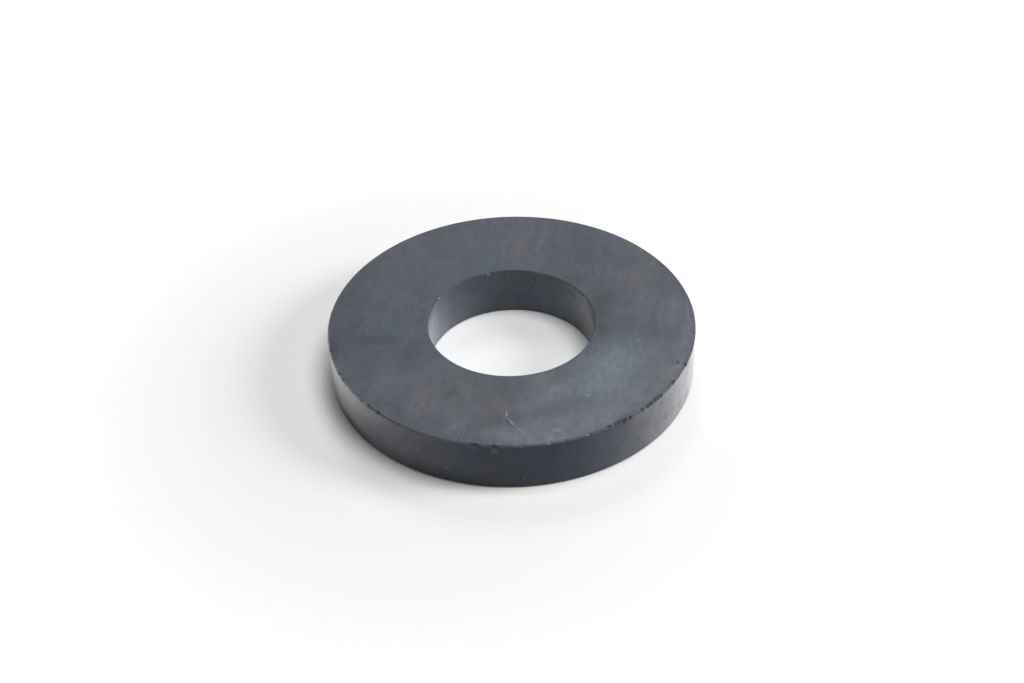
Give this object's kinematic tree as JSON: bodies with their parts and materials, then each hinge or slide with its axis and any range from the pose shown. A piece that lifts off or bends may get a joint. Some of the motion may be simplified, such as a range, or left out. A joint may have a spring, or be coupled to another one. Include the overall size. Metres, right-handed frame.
{
  "type": "ring magnet",
  "caption": "Flat ceramic ferrite ring magnet with a plain central bore, ground faces and a chipped upper rim.",
  "frame": {"origin": "centre of the lower face, on the bore's axis", "axes": "+Z along the bore's axis, up through the thickness; -Y towards the side with the two large flakes in the rim"},
  "size_m": [0.07, 0.07, 0.01],
  "materials": {
    "ferrite": "sintered charcoal-grey ferrite, ground faces, satin"
  },
  "bodies": {
    "root": {"ring_magnet": "ferrite"}
  },
  "joints": []
}
